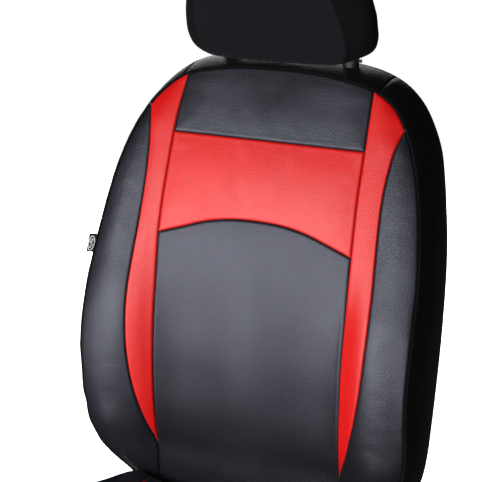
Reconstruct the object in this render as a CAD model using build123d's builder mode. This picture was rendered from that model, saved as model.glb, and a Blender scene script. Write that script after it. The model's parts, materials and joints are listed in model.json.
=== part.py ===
from build123d import *
import math
import os

# A seat cover set fitted to a manual front car seat, in millimetres.
# +Z is up, the seat faces -Y, and +X is the outboard side, where the recline lever is.
# The origin is the centre of the four floor bolts, on the plane that the feet stand on.

# ---- driving dimensions -------------------------------------------------------------
SKIN = 4.0                    # leatherette or knit fabric with its foam backing
SLIP = 0.4                    # gap between a cover and the foam under it
SEAM = 0.15                   # gap between neighbouring cut panels
RECLINE = 16.0                # backrest lean from the vertical at rest

BOLT_SPACING_X = 410.0
BOLT_SPACING_Y = 444.0
BOLT_HOLE_R = 5.5             # M10 floor bolts
FOOT_THICK = 4.0
FOOT_LENGTH = 54.0
RAIL_X = BOLT_SPACING_X / 2
RAIL_WIDTH = 44.0
RAIL_WALL = 3.0
RAIL_TOP = 34.0
RAIL_HALF_LENGTH = 205.0
SLIDER_HALF_LENGTH = 145.0
SLIDER_TOP = 49.0

BACK_ORIGIN = (0, 150, 290)   # crease between cushion and backrest
BACK_REAR = -95.0             # rear plane of the backrest, measured along its normal
SIDE_TAPER = 24.0             # the sides draw in towards the front by this much
TAPER_FROM = -68.0
TAPER_TO = 75.0
REAR_BEVEL = 22.0             # rear edge, drawn in over the last part of the depth
REAR_BEVEL_FROM = -80.0
INSERT_HALF = 142.0           # half the width of the centre insert
YOKE_TOP = 545.0              # straight seam between the upper panel and the yoke
TUCK = -52.0                  # lower end of the backrest cover, behind the cushion
FOAM_LOW = -47.0

PIVOT_UP = -75.0              # recliner axis in the backrest's own frame
PIVOT_OUT = -30.0
PIVOT_R = 8.0
RUNNING_GAP = 0.05
PLATE_X = 188.0               # middle of the backrest's side plates
SIDE_MEMBER_X = 232.0         # middle of the seat's side members
SHIELD_X = 249.0              # outer face of the side shields

POST_X = 90.0                 # headrest posts
POST_OUT = -60.0
POST_R = 6.0
POST_BEND = 15.0
GUIDE_R = 9.0
COLLAR_R = 12.0
HEADREST_SIDE_INSET = 22.0

CUSHION_BASE = 200.0          # underside of the cushion foam
SKIRT_LOW = 186.0             # lower hem of the cushion cover
CUSHION_TAPER = 26.0          # the sides draw in towards the top by this much
CUSHION_TAPER_FROM = 262.0
CUSHION_TAPER_TO = 382.0
CUSHION_INSERT_HALF = 145.0
REAR_CUT = 112.0              # the cushion's rear corners are cut away behind this
REAR_CUT_HALF = 170.0
REAR_CUT_TOP = 256.0

# Backrest outline, right half, from hem to crown: (half width, height up the back).
BACK_OUTLINE = [
    (172, -34), (199, 20), (239, 78), (259, 160), (261, 260),
    (256, 390), (240, 520), (215, 584), (172, 636), (108, 661), (0, 669),
]
# Front surface stations up the back: (height, face of the insert, bolster rise).
BACK_STATIONS = [
    (-150, -64, 2), (20, -38, 18), (110, -7, 23), (230, 23, 24), (345, 31, 12),
    (440, 27, 4), (545, 10, 1), (627, -17, 0), (720, -58, 0),
]
# Share of the bolster rise across the seat: (distance from the centre, share).
BOLSTER_SHAPE = [(0, 0), (90, 0), (143, 0.08), (181, 0.72), (213, 1), (245, 0.7), (290, 0.1)]
# Outer edge of the coloured strip on the backrest, from its lower tip to the shoulder.
BACK_STRIP = [
    (142, 66), (154, 101), (163, 137), (172, 183), (177, 229), (180.5, 300),
    (180, 359), (176.5, 448), (177, 500), (184, 556), (200, 606), (212, 660),
]
YOKE_ARCH = [(-150, 396), (-107, 412), (-75, 423), (0, 432), (75, 423), (107, 412), (150, 396)]

# Cushion outline seen from above, right half, from the rear to the front.
CUSHION_OUTLINE = [
    (172, 171), (220, 153), (247, 88), (257, 0), (260, -100), (256, -200),
    (238, -262), (190, -292), (120, -300), (0, -302),
]
# Cushion stations from the rear to the front: (y, top of the insert, bolster rise).
CUSHION_STATIONS = [
    (240, 292, 2), (130, 306, 10), (50, 318, 22), (-100, 336, 25), (-230, 346, 14),
    (-360, 330, 6),
]
CUSHION_STRIP = [
    (145, 150), (160, 90), (172, 10), (179, -80), (183, -170), (194, -250), (206, -310),
]

# Headrest outline, right half, from its lower corner to the crown.
HEADREST_OUTLINE = [
    (103, 675), (119, 691), (125, 735), (119, 782), (94, 822), (48, 835), (0, 838),
]
# Headrest side profile: (out along the backrest's normal, height up the back).
HEADREST_PROFILE = [
    (16, 675), (34, 700), (49, 735), (60, 775), (62, 806), (50, 829),
    (30, 834), (14, 808), (2, 772), (-18, 740), (-48, 712), (-72, 690), (-66, 675),
]

os.makedirs("parts", exist_ok=True)

# ---- frames of reference ------------------------------------------------------------
lean = math.radians(RECLINE)
# Backrest plane: x across, y up the back, z forward out of the leather.
BACK = Plane(origin=BACK_ORIGIN, x_dir=(1, 0, 0), z_dir=(0, -math.cos(lean), math.sin(lean)))


def back_point(x, up, out):
    """A point of the backrest's own frame, in the row frame."""
    return BACK.from_local_coords(Vector(x, up, out))


def back_slice(up, x=0, out=0):
    """Plane across the backrest at a height; its x runs across, its y forward."""
    return Plane(origin=back_point(x, up, out), x_dir=(1, 0, 0), z_dir=-BACK.y_dir)


def back_side(x):
    """Plane along the backrest, square to X; its x runs forward, its y up the back."""
    return Plane(origin=back_point(x, 0, 0), x_dir=BACK.z_dir, z_dir=(-1, 0, 0))


def side(x):
    """Plane square to X in the row frame; its x runs along +Y and its y along +Z."""
    return Plane(origin=(x, 0, 0), x_dir=(0, 1, 0), z_dir=(1, 0, 0))


PIVOT = back_point(0, PIVOT_UP, PIVOT_OUT)


def save(part, name):
    """Writes one named sub-part."""
    part.label = name
    export_step(part, f"parts/{name}.step")


# ---- simple solids ------------------------------------------------------------------
def box(low, high):
    """A box between two corners of the row frame."""
    with BuildPart() as block:
        middle = [(a + b) / 2 for a, b in zip(low, high)]
        with BuildSketch(Plane(origin=(middle[0], middle[1], low[2]))):
            Rectangle(high[0] - low[0], high[1] - low[1])
        extrude(amount=high[2] - low[2])
    return block.part


def back_box(low, high):
    """A box between two corners of the backrest's own frame."""
    middle = [(a + b) / 2 for a, b in zip(low, high)]
    with BuildPart() as block:
        with BuildSketch(Plane(origin=back_point(middle[0], middle[1], low[2]),
                               x_dir=(1, 0, 0), z_dir=BACK.z_dir)):
            Rectangle(high[0] - low[0], high[1] - low[1])
        extrude(amount=high[2] - low[2])
    return block.part


def shaft(x_from, x_to, radius, centre):
    """A round bar along X through a point (y, z)."""
    with BuildPart() as bar:
        with BuildSketch(side(x_from)):
            with Locations(centre):
                Circle(radius)
        extrude(amount=x_to - x_from)
    return bar.part


def rod(radius, start, end):
    """A round bar between two points."""
    run = Vector(*end) - Vector(*start)
    with BuildPart() as bar:
        with BuildSketch(Plane(origin=start, z_dir=run)):
            Circle(radius)
        extrude(amount=run.length)
    return bar.part


def side_plate(x_from, x_to, points):
    """A plate square to X, cut to a polygon of (y, z) points."""
    with BuildPart() as plate:
        with BuildSketch(side(x_from)):
            with BuildLine():
                Polyline(*points, close=True)
            make_face()
        extrude(amount=x_to - x_from)
    return plate.part


def bent_rod(points, radius, bend):
    """A round bar along a chain of points, bent to a radius at each corner."""
    with BuildPart() as bar:
        with BuildLine() as path:
            FilletPolyline(*points, radius=bend)
        with BuildSketch(Plane(origin=path.line @ 0, z_dir=path.line % 0)):
            Circle(radius)
        sweep()
    return bar.part


def joined(*solids):
    """Several solids made into one."""
    with BuildPart() as whole:
        for solid in solids:
            add(solid)
    return whole.part


def carved(solid, keep=(), cut=()):
    """A solid limited to the space of some cutters and with others taken away."""
    with BuildPart() as result:
        add(solid)
        for cutter in keep:
            add(cutter, mode=Mode.INTERSECT)
        for cutter in cut:
            add(cutter, mode=Mode.SUBTRACT)
    return result.part


def flipped(solid):
    """The same solid on the other side of the seat."""
    return mirror(solid, Plane.YZ)


# ---- outlines and soft shapes -------------------------------------------------------
def grown(points, amount):
    """The points of an open line, moved to its right by an amount."""
    moved = []
    for i, point in enumerate(points):
        before = points[max(i - 1, 0)]
        after = points[min(i + 1, len(points) - 1)]
        along = Vector(after[0] - before[0], after[1] - before[1]).normalized()
        moved.append((point[0] + along.Y * amount, point[1] - along.X * amount))
    return moved


def mirrored(points):
    """The same points on the other side of the centre line."""
    return [(-x, y) for x, y in points]


def outline_sketch(plane, points, grow, ends):
    """A closed outline: a curve through points and their mirror images, then lines."""
    right = grown(points, grow)
    right[0] = ends[0]
    right[-1] = (0, right[-1][1])
    left = mirrored(right[:-1])
    with BuildSketch(plane) as face:
        with BuildLine():
            Spline(*right, *reversed(left))
            Polyline(left[0], *mirrored(ends[1:]), *reversed(ends[1:]), right[0])
        make_face()
    return face.sketch


def back_outline(plane, grow, low):
    """The backrest seen from the front, as a sketch on a plane."""
    x, up = BACK_OUTLINE[0]
    return outline_sketch(plane, BACK_OUTLINE, grow, [(x + grow, up), (x + grow, low)])


def back_prism(grow, low=-120.0):
    """The backrest's outline as a prism, drawn in towards the front and at the rear edge."""
    with BuildPart() as prism:
        wide = back_outline(BACK.offset(TAPER_FROM), grow, low)
        front = back_outline(BACK.offset(TAPER_TO), grow - SIDE_TAPER, low)
        loft([wide, front])
        rear_wide = back_outline(BACK.offset(REAR_BEVEL_FROM), grow, low)
        rear = back_outline(BACK.offset(BACK_REAR - 15), grow - REAR_BEVEL, low)
        extrude(rear_wide, TAPER_FROM - REAR_BEVEL_FROM)
        loft([rear, rear_wide])
    return prism.part


def soft_section(plane, face, rise, base):
    """A cross section: bolstered on top, square below."""
    top = [(x, face + rise * share) for x, share in BOLSTER_SHAPE]
    left = [(-x, y) for x, y in reversed(top[1:])]
    with BuildSketch(plane) as section:
        with BuildLine():
            Spline(*left, *top)
            Polyline(top[-1], (top[-1][0], base), (left[0][0], base), left[0])
        make_face()
    return section.sketch


def back_block(grow):
    """Everything between the front surface and the rear plane, wider than the backrest."""
    sections = [soft_section(back_slice(up), face + grow, rise, BACK_REAR - grow)
                for up, face, rise in BACK_STATIONS]
    with BuildPart() as block:
        loft(sections)
    return block.part


def back_body(grow, low):
    """The backrest, grown or shrunk from its outer surface."""
    return carved(back_block(grow), keep=[back_prism(grow, low)])


def cushion_outline(grow, height):
    """The cushion seen from above, as a sketch at a height."""
    x, y = CUSHION_OUTLINE[0]
    return outline_sketch(Plane.XY.offset(height), CUSHION_OUTLINE, -grow, [(x, y + grow)])


def cushion_prism(grow, low=150.0):
    """The cushion's outline, upright below and drawn in towards the top."""
    with BuildPart() as prism:
        extrude(cushion_outline(grow, low), CUSHION_TAPER_FROM - low)
        wide = cushion_outline(grow, CUSHION_TAPER_FROM)
        narrow = cushion_outline(grow - CUSHION_TAPER, CUSHION_TAPER_TO)
        loft([wide, narrow])
    return prism.part


def cushion_slice(y):
    """Plane across the cushion; its x runs across and its y upward."""
    return Plane(origin=(0, y, 0), x_dir=(1, 0, 0), z_dir=(0, -1, 0))


def cushion_block(grow, low):
    """Everything under the cushion's top surface, wider than the cushion."""
    sections = [soft_section(cushion_slice(y), top + grow, rise, low)
                for y, top, rise in CUSHION_STATIONS]
    with BuildPart() as block:
        loft(sections)
    return block.part


def cushion_body(grow, low):
    """The cushion, grown or shrunk from its outer surface."""
    return carved(cushion_block(grow, low), keep=[cushion_prism(grow, low - 5)])


def headrest_front(grow):
    """The headrest seen from the front, as a prism."""
    x, up = HEADREST_OUTLINE[0]
    with BuildPart() as prism:
        face = outline_sketch(BACK.offset(-120), HEADREST_OUTLINE, grow, [(x + grow, up - grow)])
        extrude(face, 260)
    return prism.part


def headrest_body(grow):
    """The headrest, a wedge that leans forward and thins towards its top."""
    with BuildPart() as body:
        with BuildSketch(back_side(200)):
            with BuildLine():
                shape = grown(HEADREST_PROFILE, grow)
                base = HEADREST_PROFILE[0][1] - grow
                shape[0] = (HEADREST_PROFILE[0][0] + grow, base)
                shape[-1] = (HEADREST_PROFILE[-1][0] - grow, base)
                Spline(*shape)
                Line(shape[-1], shape[0])
            make_face()
        extrude(amount=400)
        add(headrest_front(grow), mode=Mode.INTERSECT)
    return body.part


def back_region(curve, closing):
    """Space in front of and behind a face drawn on the backrest: a curve, then corners."""
    with BuildPart() as region:
        with BuildSketch(BACK.offset(-140)):
            with BuildLine():
                Spline(*curve)
                Polyline(curve[-1], *closing, curve[0])
            make_face()
        extrude(amount=280)
    return region.part


def cushion_region(curve, closing):
    """Space above and below a face drawn on the cushion: a curve, then corners."""
    with BuildPart() as region:
        with BuildSketch(Plane.XY.offset(150)):
            with BuildLine():
                Spline(*curve)
                Polyline(curve[-1], *closing, curve[0])
            make_face()
        extrude(amount=300)
    return region.part


def shifted(points, dx=0.0, dy=0.0):
    """Points moved sideways or up."""
    return [(x + dx, y + dy) for x, y in points]


HALF = SEAM / 2
ACROSS = 320.0
PIVOT_YZ = (PIVOT.Y, PIVOT.Z)

# ---- backrest cover -----------------------------------------------------------------
back_outer = back_body(0, TUCK)
back_inner = back_body(-SKIN, -110)
under_front = back_block(-SKIN)
ahead = back_box((-ACROSS, -130, -72), (ACROSS, 740, 140))
behind = back_box((-ACROSS, -130, -140), (ACROSS, 740, -82))
front_skin = carved(back_outer, keep=[ahead], cut=[under_front])
rear_skin = carved(back_outer, keep=[behind], cut=[under_front])
side_skin = carved(back_outer, keep=[back_block(-SKIN - SEAM)], cut=[back_inner])

insert_x = INSERT_HALF - HALF
arch_low = back_region(shifted(YOKE_ARCH, dy=-HALF), [(150, -130), (-150, -130)])
arch_high = back_region(shifted(YOKE_ARCH, dy=HALF), [(150, -130), (-150, -130)])
strip_in = back_region(shifted(BACK_STRIP, dx=-HALF), [(INSERT_HALF + HALF, 660)])
strip_out = back_region(shifted(BACK_STRIP, dx=HALF), [(INSERT_HALF - 1, 660)])
outside = back_box((INSERT_HALF + HALF, -130, -140), (ACROSS, 740, 140))
crown = back_box((-150, 560, -140), (150, 740, 140))
crown_wide = back_box((-150 - SEAM, 560, -140), (150 + SEAM, 740, 140))
right_half = back_box((0.1, -130, -140), (ACROSS, 740, 140))
collar_holes = [rod(COLLAR_R + 0.3, back_point(x, 600, POST_OUT), back_point(x, 720, POST_OUT))
                for x in (-POST_X, POST_X)]

with BuildPart() as back_upper_panel:
    add(front_skin)
    add(back_box((-insert_x, YOKE_TOP + HALF, -140), (insert_x, 740, 140)), mode=Mode.INTERSECT)
save(back_upper_panel.part, "back_upper_panel")

with BuildPart() as back_yoke:
    add(front_skin)
    add(back_box((-insert_x, 300, -140), (insert_x, YOKE_TOP - HALF, 140)), mode=Mode.INTERSECT)
    add(arch_high, mode=Mode.SUBTRACT)
save(back_yoke.part, "back_yoke")

with BuildPart() as back_centre_panel:
    add(front_skin)
    add(back_box((-insert_x, -130, -140), (insert_x, 500, 140)), mode=Mode.INTERSECT)
    add(arch_low, mode=Mode.INTERSECT)
save(back_centre_panel.part, "back_centre_panel")

with BuildPart() as back_strip_r:
    add(front_skin)
    add(strip_in, mode=Mode.INTERSECT)
save(back_strip_r.part, "back_strip_r")
save(flipped(back_strip_r.part), "back_strip_l")

with BuildPart() as back_bolster_r:
    add(front_skin)
    add(outside, mode=Mode.INTERSECT)
    add(strip_out, mode=Mode.SUBTRACT)
save(back_bolster_r.part, "back_bolster_r")
save(flipped(back_bolster_r.part), "back_bolster_l")

PLATE_SLOT = back_box((PLATE_X - 3, -45, -100), (PLATE_X + 3, 45, -30))
with BuildPart() as back_gusset_r:
    add(side_skin)
    add(PLATE_SLOT, mode=Mode.SUBTRACT)
    add(right_half, mode=Mode.INTERSECT)
    add(crown_wide, mode=Mode.SUBTRACT)
save(back_gusset_r.part, "back_gusset_r")
save(flipped(back_gusset_r.part), "back_gusset_l")

with BuildPart() as back_gusset_top:
    add(side_skin)
    add(crown, mode=Mode.INTERSECT)
    for hole in collar_holes:
        add(hole, mode=Mode.SUBTRACT)
save(back_gusset_top.part, "back_gusset_top")

with BuildPart() as back_rear_panel:
    add(rear_skin)
save(back_rear_panel.part, "back_rear_panel")

# Map pocket: a shallow open-topped pouch sewn to the rear panel.
POCKET_REAR = BACK_REAR - 16
with BuildPart() as back_pocket:
    add(back_box((-150, 170, POCKET_REAR), (150, 430, BACK_REAR)))
    add(back_box((-146, 174, POCKET_REAR + 3), (146, 440, BACK_REAR)), mode=Mode.SUBTRACT)
save(back_pocket.part, "back_pocket")

# Closure flap: passes under the foam and grips the rear panel with hook-and-loop tape.
with BuildPart() as back_closure_flap:
    add(back_box((-160, TUCK - 3, BACK_REAR - 3), (160, TUCK, -66)))
    add(back_box((-160, TUCK - 3, BACK_REAR - 3), (160, 20, BACK_REAR)))
save(back_closure_flap.part, "back_closure_flap")

with BuildPart() as back_label_tab:
    add(back_box((-271, 353, 19), (-238, 380, 21)))
    add(back_outer, mode=Mode.SUBTRACT)
save(back_label_tab.part, "back_label_tab")

# ---- backrest frame, foam and headrest guides ---------------------------------------
PLATE = [
    (-44, -92), (-86, -30), (-88, 20), (-88, 530), (-46, 530), (-40, 300), (-42, 60),
    (-52, 0), (-12, -58),
]
with BuildPart() as plate_r:
    with BuildSketch(back_side(PLATE_X + 2.5)):
        with BuildLine():
            Polyline(*PLATE, close=True)
        make_face()
        with Locations((PIVOT_OUT, PIVOT_UP)):
            Circle(26)
            Circle(PIVOT_R + 0.02, mode=Mode.SUBTRACT)
    extrude(amount=5)

top_bar = carved(
    back_box((2.5 - PLATE_X, 504, -76), (PLATE_X - 2.5, 532, -44)),
    cut=[back_box((-POST_X + 16, 507, -73), (POST_X - 16, 529, -47))]
    + [rod(GUIDE_R + 0.1, back_point(x, 495, POST_OUT), back_point(x, 540, POST_OUT))
       for x in (-POST_X, POST_X)],
)
low_bar = rod(12, back_point(2.5 - PLATE_X, 75, -72), back_point(PLATE_X - 2.5, 75, -72))

with BuildPart() as back_frame:
    add(plate_r.part)
    add(flipped(plate_r.part))
    add(top_bar)
    add(low_bar)
save(back_frame.part, "back_frame")

guide = joined(
    rod(GUIDE_R, back_point(POST_X, 500, POST_OUT), back_point(POST_X, 660, POST_OUT)),
    rod(COLLAR_R, back_point(POST_X, 654, POST_OUT), back_point(POST_X, 673, POST_OUT)),
)
guide_bore = rod(POST_R + RUNNING_GAP, back_point(POST_X, 490, POST_OUT),
                 back_point(POST_X, 680, POST_OUT))
lock_slot = back_box((POST_X + 3, 664.5, POST_OUT - 3), (POST_X + 20, 670.5, POST_OUT + 3))

with BuildPart() as headrest_guide_r:
    add(guide)
    add(guide_bore, mode=Mode.SUBTRACT)
    add(lock_slot, mode=Mode.SUBTRACT)
save(headrest_guide_r.part, "headrest_guide_r")

with BuildPart() as headrest_guide_l:
    add(flipped(carved(guide, cut=[guide_bore])))
save(headrest_guide_l.part, "headrest_guide_l")

with BuildPart() as headrest_lock_button:
    add(back_box((POST_X + 9.2, 665, POST_OUT - 2.5), (POST_X + 16, 670, POST_OUT + 2.5)))
save(headrest_lock_button.part, "headrest_lock_button")

with BuildPart() as back_foam:
    add(back_body(-SKIN - SLIP, FOAM_LOW))
    for x in (-POST_X, POST_X):
        add(rod(GUIDE_R + 0.1, back_point(x, 420, POST_OUT), back_point(x, 700, POST_OUT)),
            mode=Mode.SUBTRACT)
        add(rod(COLLAR_R + 0.2, back_point(x, 653, POST_OUT), back_point(x, 700, POST_OUT)),
            mode=Mode.SUBTRACT)
    add(back_frame.part, mode=Mode.SUBTRACT)
    add(back_box((-POST_X + 15, 504, -76), (POST_X - 15, 532, -44)), mode=Mode.SUBTRACT)
save(back_foam.part, "back_foam")

# ---- headrest -----------------------------------------------------------------------
headrest_outer = headrest_body(0)
headrest_shell = carved(headrest_outer, cut=[headrest_body(-SKIN)])
face_in = headrest_front(-HEADREST_SIDE_INSET)
face_out = headrest_front(-HEADREST_SIDE_INSET + SEAM)
with BuildPart() as headrest_front_half:
    with BuildSketch(back_side(ACROSS)):
        with BuildLine():
            Polyline((-48, 620), (60, 885), (160, 885), (160, 620), close=True)
        make_face()
    extrude(amount=2 * ACROSS)
post_line = [(-POST_X, 445, POST_OUT), (-POST_X, 684, POST_OUT), (-POST_X, 750, 12),
             (POST_X, 750, 12), (POST_X, 684, POST_OUT), (POST_X, 445, POST_OUT)]
post_path = [back_point(x, up, out) for x, up, out in post_line]
post_holes = [rod(POST_R + 1.5, back_point(x, 640, POST_OUT), back_point(x, 690, POST_OUT))
              for x in (-POST_X, POST_X)]

with BuildPart() as headrest_front_panel:
    add(headrest_shell)
    add(face_in, mode=Mode.INTERSECT)
    add(headrest_front_half.part, mode=Mode.INTERSECT)
save(headrest_front_panel.part, "headrest_front_panel")

with BuildPart() as headrest_rear_panel:
    add(headrest_shell)
    add(face_in, mode=Mode.INTERSECT)
    add(headrest_front_half.part.moved(Location((0, 0.12, 0))), mode=Mode.SUBTRACT)
    for hole in post_holes:
        add(hole, mode=Mode.SUBTRACT)
save(headrest_rear_panel.part, "headrest_rear_panel")

with BuildPart() as headrest_gusset:
    add(headrest_shell)
    add(face_out, mode=Mode.SUBTRACT)
    for hole in post_holes:
        add(hole, mode=Mode.SUBTRACT)
save(headrest_gusset.part, "headrest_gusset")

with BuildPart() as headrest_posts:
    add(bent_rod(post_path, POST_R, POST_BEND))
save(headrest_posts.part, "headrest_posts")

with BuildPart() as headrest_foam:
    add(headrest_body(-SKIN - SLIP))
    add(bent_rod(post_path, POST_R + 0.02, POST_BEND), mode=Mode.SUBTRACT)
save(headrest_foam.part, "headrest_foam")

# ---- cushion cover ------------------------------------------------------------------
cushion_outer = cushion_body(0, SKIRT_LOW)
cushion_inner = cushion_body(-SKIN, 150)
under_top = cushion_block(-SKIN, 150)
corner_cuts = [
    box((REAR_CUT_HALF, REAR_CUT, 100), (ACROSS, 260, REAR_CUT_TOP)),
    box((-ACROSS, REAR_CUT, 100), (-REAR_CUT_HALF, 260, REAR_CUT_TOP)),
]
top_skin = carved(cushion_outer, cut=[under_top])
wall_skin = carved(cushion_outer, keep=[cushion_block(-SKIN - SEAM, 150)],
                   cut=[cushion_inner, *corner_cuts])
strip_corner = (CUSHION_INSERT_HALF + HALF, -310)
cushion_strip_in = cushion_region(shifted(CUSHION_STRIP, dx=-HALF), [strip_corner])
cushion_strip_out = cushion_region(shifted(CUSHION_STRIP, dx=HALF),
                                   [(CUSHION_INSERT_HALF - 1, -310)])
insert_x = CUSHION_INSERT_HALF - HALF

with BuildPart() as cushion_centre_panel:
    add(top_skin)
    add(box((-insert_x, -320, 150), (insert_x, 260, 420)), mode=Mode.INTERSECT)
save(cushion_centre_panel.part, "cushion_centre_panel")

with BuildPart() as cushion_strip_r:
    add(top_skin)
    add(cushion_strip_in, mode=Mode.INTERSECT)
    add(box((insert_x + SEAM, -320, 150), (ACROSS, 260, 420)), mode=Mode.INTERSECT)
save(cushion_strip_r.part, "cushion_strip_r")
save(flipped(cushion_strip_r.part), "cushion_strip_l")

with BuildPart() as cushion_bolster_r:
    add(top_skin)
    add(box((insert_x + SEAM, -320, 150), (ACROSS, 260, 420)), mode=Mode.INTERSECT)
    add(cushion_strip_out, mode=Mode.SUBTRACT)
save(cushion_bolster_r.part, "cushion_bolster_r")
save(flipped(cushion_bolster_r.part), "cushion_bolster_l")

with BuildPart() as cushion_front_skirt:
    add(wall_skin)
    add(box((-ACROSS, -320, 150), (ACROSS, -225, 420)), mode=Mode.INTERSECT)
save(cushion_front_skirt.part, "cushion_front_skirt")

with BuildPart() as cushion_skirt_r:
    add(wall_skin)
    add(box((REAR_CUT_HALF, -225 + SEAM, 150), (ACROSS, 260, 420)), mode=Mode.INTERSECT)
save(cushion_skirt_r.part, "cushion_skirt_r")
save(flipped(cushion_skirt_r.part), "cushion_skirt_l")

with BuildPart() as cushion_rear_flap:
    add(wall_skin)
    add(box((SEAM - REAR_CUT_HALF, 100, 150), (REAR_CUT_HALF - SEAM, 260, 420)),
        mode=Mode.INTERSECT)
save(cushion_rear_flap.part, "cushion_rear_flap")

with BuildPart() as cushion_hem_elastic:
    extrude(cushion_outline(-SKIN - 0.1, 188), 8)
    extrude(cushion_outline(-SKIN - 2.6, 188), 8, mode=Mode.SUBTRACT)
    add(box((-ACROSS, REAR_CUT - 2, 150), (ACROSS, 260, 420)), mode=Mode.SUBTRACT)
save(cushion_hem_elastic.part, "cushion_hem_elastic")

# Elastic straps that pull the front and rear hems together under the seat.
with BuildPart() as cushion_strap_r:
    add(box((108, -295.4, 190.5), (133, 166.9, 192)))
    add(box((108, -295.4, 188), (133, -293.9, 196)))
    add(box((108, 165.4, 188), (133, 166.9, 196)))
    add(box((104, 20, 189), (137, 44, 193.5)))
    add(box((109, 23.5, 188), (132, 29, 190.5)), mode=Mode.SUBTRACT)
    add(box((109, 35, 188), (132, 40.5, 190.5)), mode=Mode.SUBTRACT)
    extrude(cushion_outline(-SKIN - 2.8, 180), 30, mode=Mode.INTERSECT)
save(cushion_strap_r.part, "cushion_strap_r")
save(flipped(cushion_strap_r.part), "cushion_strap_l")

# ---- cushion foam, pan and seat frame -----------------------------------------------
with BuildPart() as cushion_foam:
    add(cushion_body(-SKIN - SLIP, CUSHION_BASE))
    add(box((REAR_CUT_HALF - 4, REAR_CUT - 4, 100), (ACROSS, 260, REAR_CUT_TOP + 4)),
        mode=Mode.SUBTRACT)
    add(box((-ACROSS, REAR_CUT - 4, 100), (4 - REAR_CUT_HALF, 260, REAR_CUT_TOP + 4)),
        mode=Mode.SUBTRACT)
save(cushion_foam.part, "cushion_foam")

MEMBER_IN = SIDE_MEMBER_X - 2
MEMBER_OUT = SIDE_MEMBER_X + 2
with BuildPart() as cushion_pan:
    add(box((-MEMBER_IN, -250, 197), (MEMBER_IN, 100, 200)))
    add(box((-180, -282, 197), (180, 100, 200)))
    add(box((-160, 90, 197), (160, 160, 200)))
    add(box((MEMBER_IN - 3, -250, 150), (MEMBER_IN, 100, 200)))
    add(box((-MEMBER_IN, -250, 150), (3 - MEMBER_IN, 100, 200)))
save(cushion_pan.part, "cushion_pan")

MEMBER = [
    (-270, SLIDER_TOP), (190, SLIDER_TOP), (192, 212), (124, 212), (104, 176), (-262, 176),
    (-270, 168),
]
with BuildPart() as side_member_r:
    with BuildSketch(side(MEMBER_IN)):
        with BuildLine():
            Polyline(*MEMBER, close=True)
        make_face()
        with Locations(PIVOT_YZ):
            Circle(33)
            Circle(PIVOT_R + RUNNING_GAP, mode=Mode.SUBTRACT)
    extrude(amount=MEMBER_OUT - MEMBER_IN)
    add(box((187, -270, SLIDER_TOP), (MEMBER_OUT, 190, SLIDER_TOP + 3)))
save(side_member_r.part, "side_member_r")
save(flipped(side_member_r.part), "side_member_l")

with BuildPart() as front_cross_tube:
    add(shaft(-MEMBER_IN, MEMBER_IN, 12, (-235, 122)))
    add(shaft(-MEMBER_IN, MEMBER_IN, 10, (-235, 122)), mode=Mode.SUBTRACT)
save(front_cross_tube.part, "front_cross_tube")

with BuildPart() as rear_cross_tube:
    add(shaft(-MEMBER_IN, MEMBER_IN, 12, (140, 120)))
    add(shaft(-MEMBER_IN, MEMBER_IN, 10, (140, 120)), mode=Mode.SUBTRACT)
save(rear_cross_tube.part, "rear_cross_tube")

# ---- recliners ----------------------------------------------------------------------
with BuildPart() as recliner_r:
    add(shaft(PLATE_X + 3.1, MEMBER_IN, 30, PIVOT_YZ))
    add(shaft(PLATE_X, MEMBER_OUT, PIVOT_R + RUNNING_GAP, PIVOT_YZ), mode=Mode.SUBTRACT)
save(recliner_r.part, "recliner_r")
save(flipped(recliner_r.part), "recliner_l")

with BuildPart() as recliner_pin_r:
    add(shaft(PLATE_X - 11.5, PLATE_X - 2.5, 13, PIVOT_YZ))
    add(shaft(PLATE_X - 7, 270, PIVOT_R, PIVOT_YZ))
save(recliner_pin_r.part, "recliner_pin_r")

with BuildPart() as recliner_pin_l:
    add(shaft(2.5 - PLATE_X, 11.5 - PLATE_X, 13, PIVOT_YZ))
    add(shaft(-243, 7 - PLATE_X, PIVOT_R, PIVOT_YZ))
save(recliner_pin_l.part, "recliner_pin_l")

LEVER = [
    (150, 224), (60, 208), (24, 192), (18, 180), (26, 172), (66, 182), (150, 194),
]
with BuildPart() as recline_lever:
    add(shaft(SHIELD_X + 0.6, 274, 15, PIVOT_YZ))
    add(side_plate(264, 274, LEVER))
    add(shaft(SHIELD_X, 270.4, PIVOT_R + RUNNING_GAP, PIVOT_YZ), mode=Mode.SUBTRACT)
save(recline_lever.part, "recline_lever")

SHIELD = [
    (-262, 100), (-252, 64), (186, 64), (198, 120), (197, 226), (178, 250), (138, 250),
    (114, 228), (114, 184), (-262, 184),
]
SHIELD_INNER = [
    (-259, 100.4), (-249.7, 67), (183.5, 67), (195, 120.3), (194, 225), (176.5, 247),
    (139, 247), (117, 226.6), (117, 181), (-259, 181),
]
with BuildPart() as side_shield_l:
    add(side_plate(-SHIELD_X, -MEMBER_OUT - 0.3, SHIELD))
    add(side_plate(3 - SHIELD_X, -MEMBER_OUT, SHIELD_INNER), mode=Mode.SUBTRACT)
    add(shaft(-MEMBER_OUT - 12, -MEMBER_OUT - 0.3, 6, (-200, 125)))
    add(shaft(-MEMBER_OUT - 12, -MEMBER_OUT - 0.3, 6, (60, 125)))
save(side_shield_l.part, "side_shield_l")

with BuildPart() as side_shield_r:
    add(flipped(side_shield_l.part))
    add(shaft(MEMBER_OUT, SHIELD_X + 1, PIVOT_R + 1, PIVOT_YZ), mode=Mode.SUBTRACT)
save(side_shield_r.part, "side_shield_r")

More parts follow.
